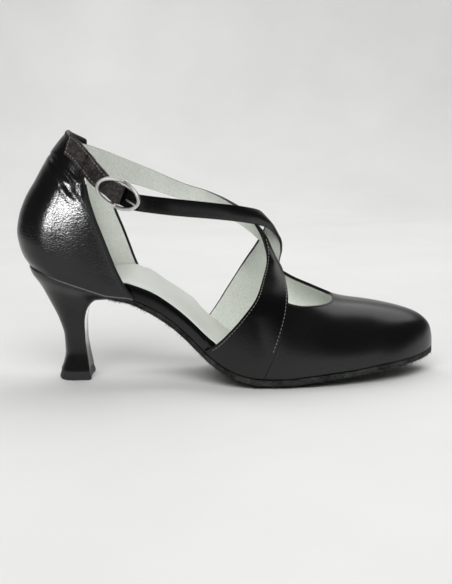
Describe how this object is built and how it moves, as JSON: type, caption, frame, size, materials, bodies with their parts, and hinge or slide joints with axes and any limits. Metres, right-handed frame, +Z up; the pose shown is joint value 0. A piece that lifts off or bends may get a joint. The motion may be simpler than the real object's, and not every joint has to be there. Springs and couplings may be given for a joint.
{
  "type": "ballroom dance shoe",
  "caption": "Right-foot court shoe for ballroom dancing with closed toe, crossed instep straps, side buckle, closed heel counter, suede sole and flared covered heel.",
  "frame": {"origin": "middle of the shoe's length and width on the floor plane under the heel tip and the tread", "axes": "+X towards the toe, +Y towards the inner side of a right foot, +Z up"},
  "size_m": [0.2354, 0.0764, 0.1386],
  "materials": {
    "upper_leather": "smooth black calf with a soft gloss",
    "sock_leather": "pale pored lining leather",
    "sole_suede": "dark split suede with a fibrous edge",
    "heel_leather": "black satin leather cover",
    "top_piece": "matt dark grey",
    "buckle_metal": "polished nickel"
  },
  "bodies": {
    "root": {"upper": "upper_leather", "insole": "sock_leather", "outsole": "sole_suede", "heel": "heel_leather", "heel_tip": "top_piece", "buckle_frame": "buckle_metal", "buckle_prong": "buckle_metal"}
  },
  "joints": []
}
